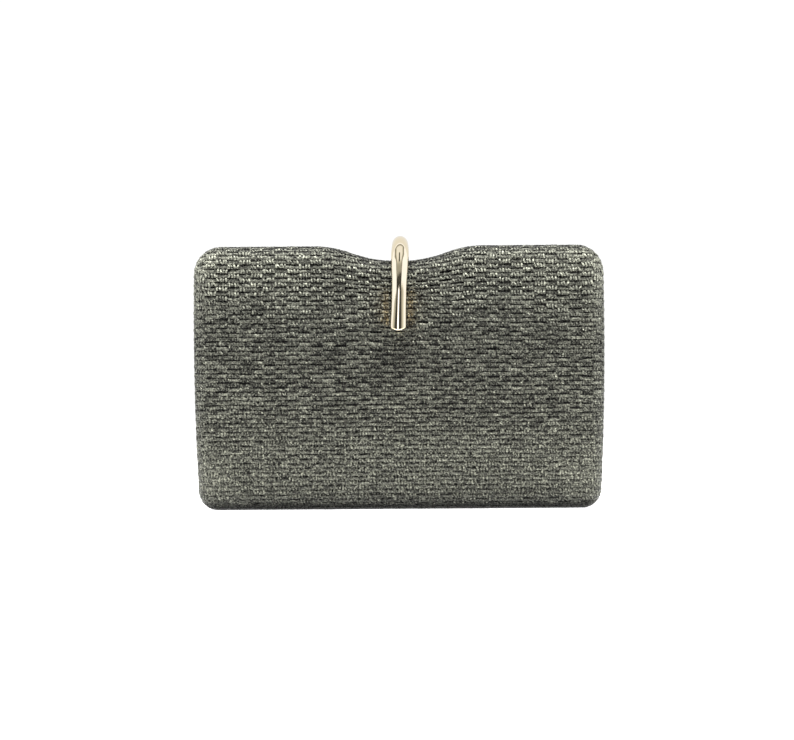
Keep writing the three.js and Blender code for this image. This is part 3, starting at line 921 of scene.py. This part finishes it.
def lining_material():
    """Plain dark cloth inside the case, with a fine ribbed weave."""
    material, graph, inputs = new_material("plain_lining")
    thread = graph.noise(LINING_THREAD_SCALE, LINING_THREAD_DETAIL)
    patch = graph.noise(LINING_PATCH_SCALE)
    fine = graph.maths("MULTIPLY", thread, LINING_SHARE)
    tone = graph.maths("ADD", fine, graph.maths("MULTIPLY", patch, LINING_SHARE))
    graph.feed(inputs["Base Color"], graph.ramp(tone, LINING_TONES))
    graph.feed(inputs["Roughness"], LINING_ROUGHNESS)
    graph.feed(inputs["Sheen Weight"], LINING_SHEEN)
    graph.feed(inputs["Normal"], graph.bump(thread, LINING_BUMP, LINING_BUMP_DEPTH))
    return material


def metal_material(name, colour, darker, roughness, grain):
    """Plated metal with slight cloudiness and fine wear in its polish."""
    material, graph, inputs = new_material(name)
    cloud = graph.noise(CLOUD_SCALE)
    scratch = graph.noise(grain)
    least = roughness * LEAST_ROUGHNESS_SHARE
    graph.feed(inputs["Base Color"], graph.ramp(cloud, list(zip(CLOUD_PLACES, (darker, colour)))))
    graph.feed(inputs["Roughness"], graph.maths("MULTIPLY_ADD", scratch, roughness, least))
    graph.feed(inputs["Metallic"], 1.0)
    graph.feed(inputs["Normal"], graph.bump(scratch, METAL_BUMP, METAL_BUMP_DEPTH))
    return material


def floor_material():
    material, graph, inputs = new_material("pale_floor")
    graph.feed(inputs["Base Color"], graph.ramp(graph.noise(FLOOR_SCALE), FLOOR_TONES))
    graph.feed(inputs["Roughness"], FLOOR_ROUGHNESS)
    inputs["Emission Color"].default_value = (1, 1, 1, 1)
    graph.feed(inputs["Emission Strength"], FLOOR_GLOW)
    return material


# Clasp bar

bend_centre_z = BAR_TOP_Z - BAR_BEND_HALF_DEPTH - BAR_BEND_RADIUS
bend_end = math.pi / 2 - BAR_LEG_TILT
leg_length = (bend_centre_z + BAR_BEND_RADIUS * math.cos(bend_end) - BAR_TIP_Z) / math.cos(BAR_LEG_TILT)
tip_depth = WALL_DEPTH + EDGE_ROLL + float(crown(0.0, BAR_TIP_Z)[0]) + BAR_FACE_GAP + BAR_LEG_HALF_DEPTH
bend_centre_y = -tip_depth + leg_length * math.sin(BAR_LEG_TILT) + BAR_BEND_RADIUS * math.sin(bend_end)
bend_start = -math.asin((BAR_PIVOT_Y - bend_centre_y) / BAR_BEND_RADIUS)
pivot_z = bend_centre_z + BAR_BEND_RADIUS * math.cos(bend_start)
bar_shoulder_z = bend_centre_z + BAR_BEND_RADIUS * math.cos(BAR_SHOULDER_TURN)


def tapered_width(z):
    """The bar's half width below its shoulder, where it narrows to a waist and flares a little at the tip."""
    width = blend(BAR_SHOULDER_HALF_WIDTH, BAR_WAIST_HALF_WIDTH, ease(bar_shoulder_z - z, *BAR_WAIST_RUN))
    return blend(width, BAR_TIP_HALF_WIDTH, ease(z, BAR_TIP_Z + BAR_FLARE_LENGTH, BAR_TIP_Z))


def heading(turn):
    """The way (y, z) the bar runs where it has turned so far from level."""
    return -math.cos(turn), -math.sin(turn)


def on_bend(turn):
    y = bend_centre_y - BAR_BEND_RADIUS * math.sin(turn)
    return y, bend_centre_z + BAR_BEND_RADIUS * math.cos(turn)


def bar_sections():
    """Sections (y, z, heading, half width, half depth) from the root's half ball over the bend to the tip."""
    sections = []
    y, z = on_bend(bend_start)
    way = heading(bend_start)
    for turn in np.linspace(*BAR_ROOT_TURNS, BAR_ROOT_STEPS):
        back, radius = BAR_ROOT_RADIUS * math.sin(turn), BAR_ROOT_RADIUS * math.cos(turn)
        sections.append((y - way[0] * back, z - way[1] * back, way, radius, radius))
    # The bend runs on into the leg, which straightens slowly to the tip.
    leg_start = bend_end - BAR_LEG_SWEEP / 2
    for turn in np.linspace(bend_start, leg_start, BAR_BEND_STEPS):
        y, z = on_bend(turn)
        thick = blend(BAR_ROOT_RADIUS, BAR_BEND_HALF_DEPTH, ease(turn, bend_start, 0))
        width = blend(BAR_ROOT_RADIUS, tapered_width(z), ease(turn, 0, BAR_SHOULDER_TURN))
        depth = blend(thick, BAR_LEG_HALF_DEPTH, ease(turn, BAR_FLATTENING_TURN, leg_start))
        sections.append((y, z, heading(turn), width, depth))
    length = leg_length + BAR_BEND_RADIUS * BAR_LEG_SWEEP / 2 - BAR_EDGE
    for step in range(1, BAR_LEG_STEPS + 1):
        way = heading(leg_start + BAR_LEG_SWEEP * (step - 0.5) / BAR_LEG_STEPS)
        y, z = y + way[0] * length / BAR_LEG_STEPS, z + way[1] * length / BAR_LEG_STEPS
        way = heading(leg_start + BAR_LEG_SWEEP * step / BAR_LEG_STEPS)
        sections.append((y, z, way, tapered_width(z), BAR_LEG_HALF_DEPTH))
    way = heading(bend_end + BAR_LEG_SWEEP / 2)
    for turn in np.linspace(math.pi / 2 / BAR_EDGE_STEPS, math.pi / 2, BAR_EDGE_STEPS):
        on, inset = BAR_EDGE * math.sin(turn), BAR_EDGE * (1 - math.cos(turn))
        width, depth = BAR_TIP_HALF_WIDTH - inset, BAR_LEG_HALF_DEPTH - inset
        sections.append((y + way[0] * on, z + way[1] * on, way, width, depth))
    return sections


def cut_box(piece, low, high):
    """Cuts a box out of a piece, keeping its smooth shading off the new edges."""
    corners = [(x, y, z) for z in (low.z, high.z) for y in (low.y, high.y) for x in (low.x, high.x)]
    sides = [(0, 2, 3, 1), (4, 5, 7, 6), (0, 1, 5, 4), (2, 6, 7, 3), (0, 4, 6, 2), (1, 3, 7, 5)]
    cutter = mesh_piece("cutter", corners, [list(s) for s in sides], [], smooth=False)
    boolean = piece.modifiers.new("cut", "BOOLEAN")
    boolean.object = cutter
    boolean.solver = "EXACT"
    depsgraph = bpy.context.evaluated_depsgraph_get()
    made = bpy.data.meshes.new_from_object(piece.evaluated_get(depsgraph))
    piece.modifiers.clear()
    piece.data = made
    bpy.data.objects.remove(cutter)
    made.set_sharp_from_angle(angle=SHARP_ANGLE)


def bar_piece(material):
    """The clasp's lever, with a slot in its root for the bracket's lug."""
    sections = bar_sections()
    turns = 2 * math.pi * np.arange(BAR_SIDES) / BAR_SIDES
    vertices = []
    for y, z, way, width, depth in sections:
        down = min(1.0, max(0.0, (pivot_z - z) / (pivot_z - BAR_TIP_Z)))
        over = depth * np.sin(turns)
        # The tip is cut to a shallow arc, so its corners end sooner than its middle.
        short = BAR_TIP_CAP * down**BAR_TIP_CAP_POWER * np.cos(turns) ** 2
        vertices.append(np.column_stack([
            blend(BAR_PIVOT_X, BAR_TIP_X, down) + width * np.cos(turns),
            seam_y + y + way[1] * over - way[0] * short,
            z - way[0] * over - way[1] * short,
        ]))
    count = len(sections)
    faces = [[b, a, a + BAR_SIDES, b + BAR_SIDES] for a, b in neighbours(count, BAR_SIDES)]
    faces += end_faces(count, BAR_SIDES)
    piece = mesh_piece("gold_clasp_bar", np.vstack(vertices) * MM, faces, [material])
    slot_reach = LUG_RADIUS + LUG_SLOT_GAP
    slot_half = LUG_HALF_THICKNESS + LUG_SLOT_GAP
    behind = 2 * BAR_ROOT_RADIUS
    low = Vector((BAR_PIVOT_X - slot_half, seam_y + BAR_PIVOT_Y - slot_reach, pivot_z - behind)) * MM
    high = Vector((BAR_PIVOT_X + slot_half, seam_y + BAR_PIVOT_Y + behind, pivot_z + slot_reach)) * MM
    cut_box(piece, low, high)
    return piece


# Stage, light and camera


def add_camera():
    data = bpy.data.cameras.new("camera")
    data.sensor_fit = "HORIZONTAL"
    data.sensor_width = SENSOR_WIDTH
    # The scale holds where the outline is, at the front end of the walls.
    data.lens = SENSOR_WIDTH * (CAMERA_DISTANCE - WALL_DEPTH) / (PHOTO_WIDTH * MM_PER_PIXEL)
    data.clip_end = CAMERA_REACH_METRES
    camera = bpy.data.objects.new("camera", data)
    bpy.context.scene.collection.objects.link(camera)
    target = Vector((CENTRE_X, seam_y, CENTRE_Z)) * MM
    back = Vector((0, -math.cos(CAMERA_ELEVATION), math.sin(CAMERA_ELEVATION)))
    camera.location = target + back * CAMERA_DISTANCE * MM
    camera.rotation_euler = (-back).to_track_quat("-Z", "Y").to_euler()
    camera.rotation_euler.rotate_axis("Z", -CAMERA_ROLL)
    bpy.context.scene.camera = camera


def area_light(name, place, target, size, watts, colour=(1, 1, 1)):
    data = bpy.data.lights.new(name, "AREA")
    data.color = colour
    data.shape = "RECTANGLE"
    data.size, data.size_y = size
    data.energy = watts
    light = bpy.data.objects.new(name, data)
    light.location = place
    light.rotation_euler = (Vector(target) - Vector(place)).to_track_quat("-Z", "Y").to_euler()
    # Polished metal shows the surroundings and not the lamp.
    light.visible_glossy = False
    light.visible_camera = False
    bpy.context.scene.collection.objects.link(light)


def add_lights():
    area_light("key_light", **KEY_LIGHT)
    for side in (-1, 1):
        area_light("side_light", (side * SIDE_LIGHT_X, SIDE_LIGHT_Y, SIDE_LIGHT_Z), **SIDE_LIGHT)
    area_light("floor_bounce", **FLOOR_BOUNCE, colour=FLOOR_BOUNCE_COLOUR)
    glow_z = GLOW_HEIGHT_MM * MM
    glow_y = (seam_y - WALL_DEPTH - EDGE_ROLL - float(crown(0.0, GLOW_HEIGHT_MM)[0])) * MM
    for side in (-1, 1):
        start = (side * GLOW_START_X + GLOW_MIDDLE_X, glow_y - GLOW_STANDOFF, glow_z)
        end = (side * GLOW_END_X + GLOW_MIDDLE_X, glow_y, glow_z)
        area_light("bar_glow", start, end, **GLOW_LIGHT)
    area_light("back_light", **BACK_LIGHT)


def studio_world():
    """White surroundings. A long dark-rimmed lamp box runs from overhead to the dark front, below which
    a bright line shows."""
    world = bpy.data.worlds.new("studio")
    world.use_nodes = True
    graph = Graph(world.node_tree)
    maths, toward = graph.maths, graph.toward
    place = graph.nodes.new("ShaderNodeTexCoord")
    split = graph.nodes.new("ShaderNodeSeparateXYZ")
    graph.links.new(place.outputs["Generated"], split.inputs["Vector"])
    x, y, z = split.outputs
    across = maths("ABSOLUTE", maths("SUBTRACT", x, LINE_X))
    # From the front horizon over the top to the back
    rise = maths("ARCTAN2", z, maths("MULTIPLY", y, -1.0))

    def all_of(*masks):
        mask = masks[0]
        for other in masks[1:]:
            mask = maths("MULTIPLY", mask, other)
        return mask

    def turning(band):
        return graph.change(rise, math.radians(band[0]), math.radians(band[1]))

    def passing(value, band):
        return graph.change(value, *band)

    wider = maths("MULTIPLY_ADD", turning(BOX_WIDENS), BOX_WIDENING, BOX_HALF_WIDTH)
    half_width = maths("MULTIPLY_ADD", turning(GAP_WIDENS), GAP_WIDENING, wider)
    beside = maths("DIVIDE", across, half_width)
    behind = maths("MULTIPLY_ADD", y, BOX_BACK_STRETCH, 1 - BOX_BACK_STRETCH * BOX_BACK)
    reach = maths("SMOOTH_MAX", beside, behind, BOX_ROUNDING)
    on_line = passing(across, LINE_ACROSS)

    level = toward(SIDE_LEVEL, passing(y, BEHIND_Y), BACK_LEVEL)
    level = toward(level, all_of(turning(DIM_BELOW), passing(across, DIM_ACROSS)), DIM_LEVEL)
    inside = toward(DARK_LEVEL, turning(BROWN_ABOVE), BROWN_LEVEL)
    inside = toward(inside, turning(BOX_ABOVE), BOX_LEVEL)
    level = toward(level, passing(reach, BOX_EDGE), inside)
    box_rim = all_of(passing(reach, RIM_INNER_EDGE), passing(reach, RIM_OUTER_EDGE), turning(RIM_ABOVE))
    level = toward(level, box_rim, RIM_LEVEL)
    level = toward(level, all_of(on_line, turning(SLIT_ABOVE), turning(SLIT_BELOW)), DARK_LEVEL)
    level = toward(level, all_of(on_line, turning(LINE_BELOW)), LINE_LEVEL)
    sight = graph.nodes.new("ShaderNodeLightPath").outputs
    level = toward(level, sight["Is Diffuse Ray"], maths("MULTIPLY", level, FILL_SHARE))
    mirrored = all_of(passing(level, BRIGHT_LEVELS), sight["Is Glossy Ray"])
    background = graph.nodes["Background"].inputs
    graph.feed(background["Color"], graph.ramp(mirrored, [(0.0, (1, 1, 1)), (1.0, BRIGHT_TONE)]))
    graph.feed(background["Strength"], toward(level, sight["Is Camera Ray"], BACKDROP_LEVEL))
    world.cycles.sampling_method = "NONE"
    bpy.context.scene.world = world


def add_stage():
    size = FLOOR_HALF_SIZE
    corners = [(-size, -size, 0), (size, -size, 0), (size, size, 0), (-size, size, 0)]
    floor = mesh_piece("floor", corners, [[0, 1, 2, 3]], [floor_material()])
    floor.visible_diffuse = False
    add_lights()
    studio_world()
    bpy.context.scene.view_settings.view_transform = "Standard"


# The object

warp_straw = straw_material("warp_straw", WARP_FIBRE_SCALE, WARP_TONES)
weft_straw = straw_material("weft_straw", WEFT_FIBRE_SCALE, WEFT_TONES)
under_cloth, lining = under_material(), lining_material()
gold = metal_material("pale_gold", GOLD, DARKER_GOLD, GOLD_ROUGHNESS, GOLD_GRAIN)
hinge_metal = metal_material("hinge_brass", BRASS, DARKER_BRASS, BRASS_ROUGHNESS, BRASS_GRAIN)

for body, side in (("front", -1), ("back", 1)):
    cells = weave_cells()
    case = case_piece(body + "_case", side, [under_cloth, lining])
    pieces = [
        case,
        woven_piece(body + "_straw_warp_a", weave_arrays(warp_strands(cells, 0), True), side, warp_straw),
        woven_piece(body + "_straw_warp_b", weave_arrays(warp_strands(cells, 1), True), side, warp_straw),
        woven_piece(body + "_straw_weft", weave_arrays(weft_strands(cells), False), side, weft_straw),
    ]
    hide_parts(body + "_shell")
    for piece in pieces:
        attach(piece, body)

bar = bar_piece(gold)
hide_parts("clasp_bar")
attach(bar, "clasp")
metals = {"clasp_bracket": gold, "hinge_front_leaf": hinge_metal, "hinge_back_leaf": hinge_metal}
for node, material in metals.items():
    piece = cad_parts[node]
    piece.data.materials.clear()
    piece.data.materials.append(material)
    bevel = piece.modifiers.new("edges", "BEVEL")
    bevel.width = EDGE_BEVEL * MM
    bevel.segments = BEVEL_STEPS

add_camera()
add_stage()
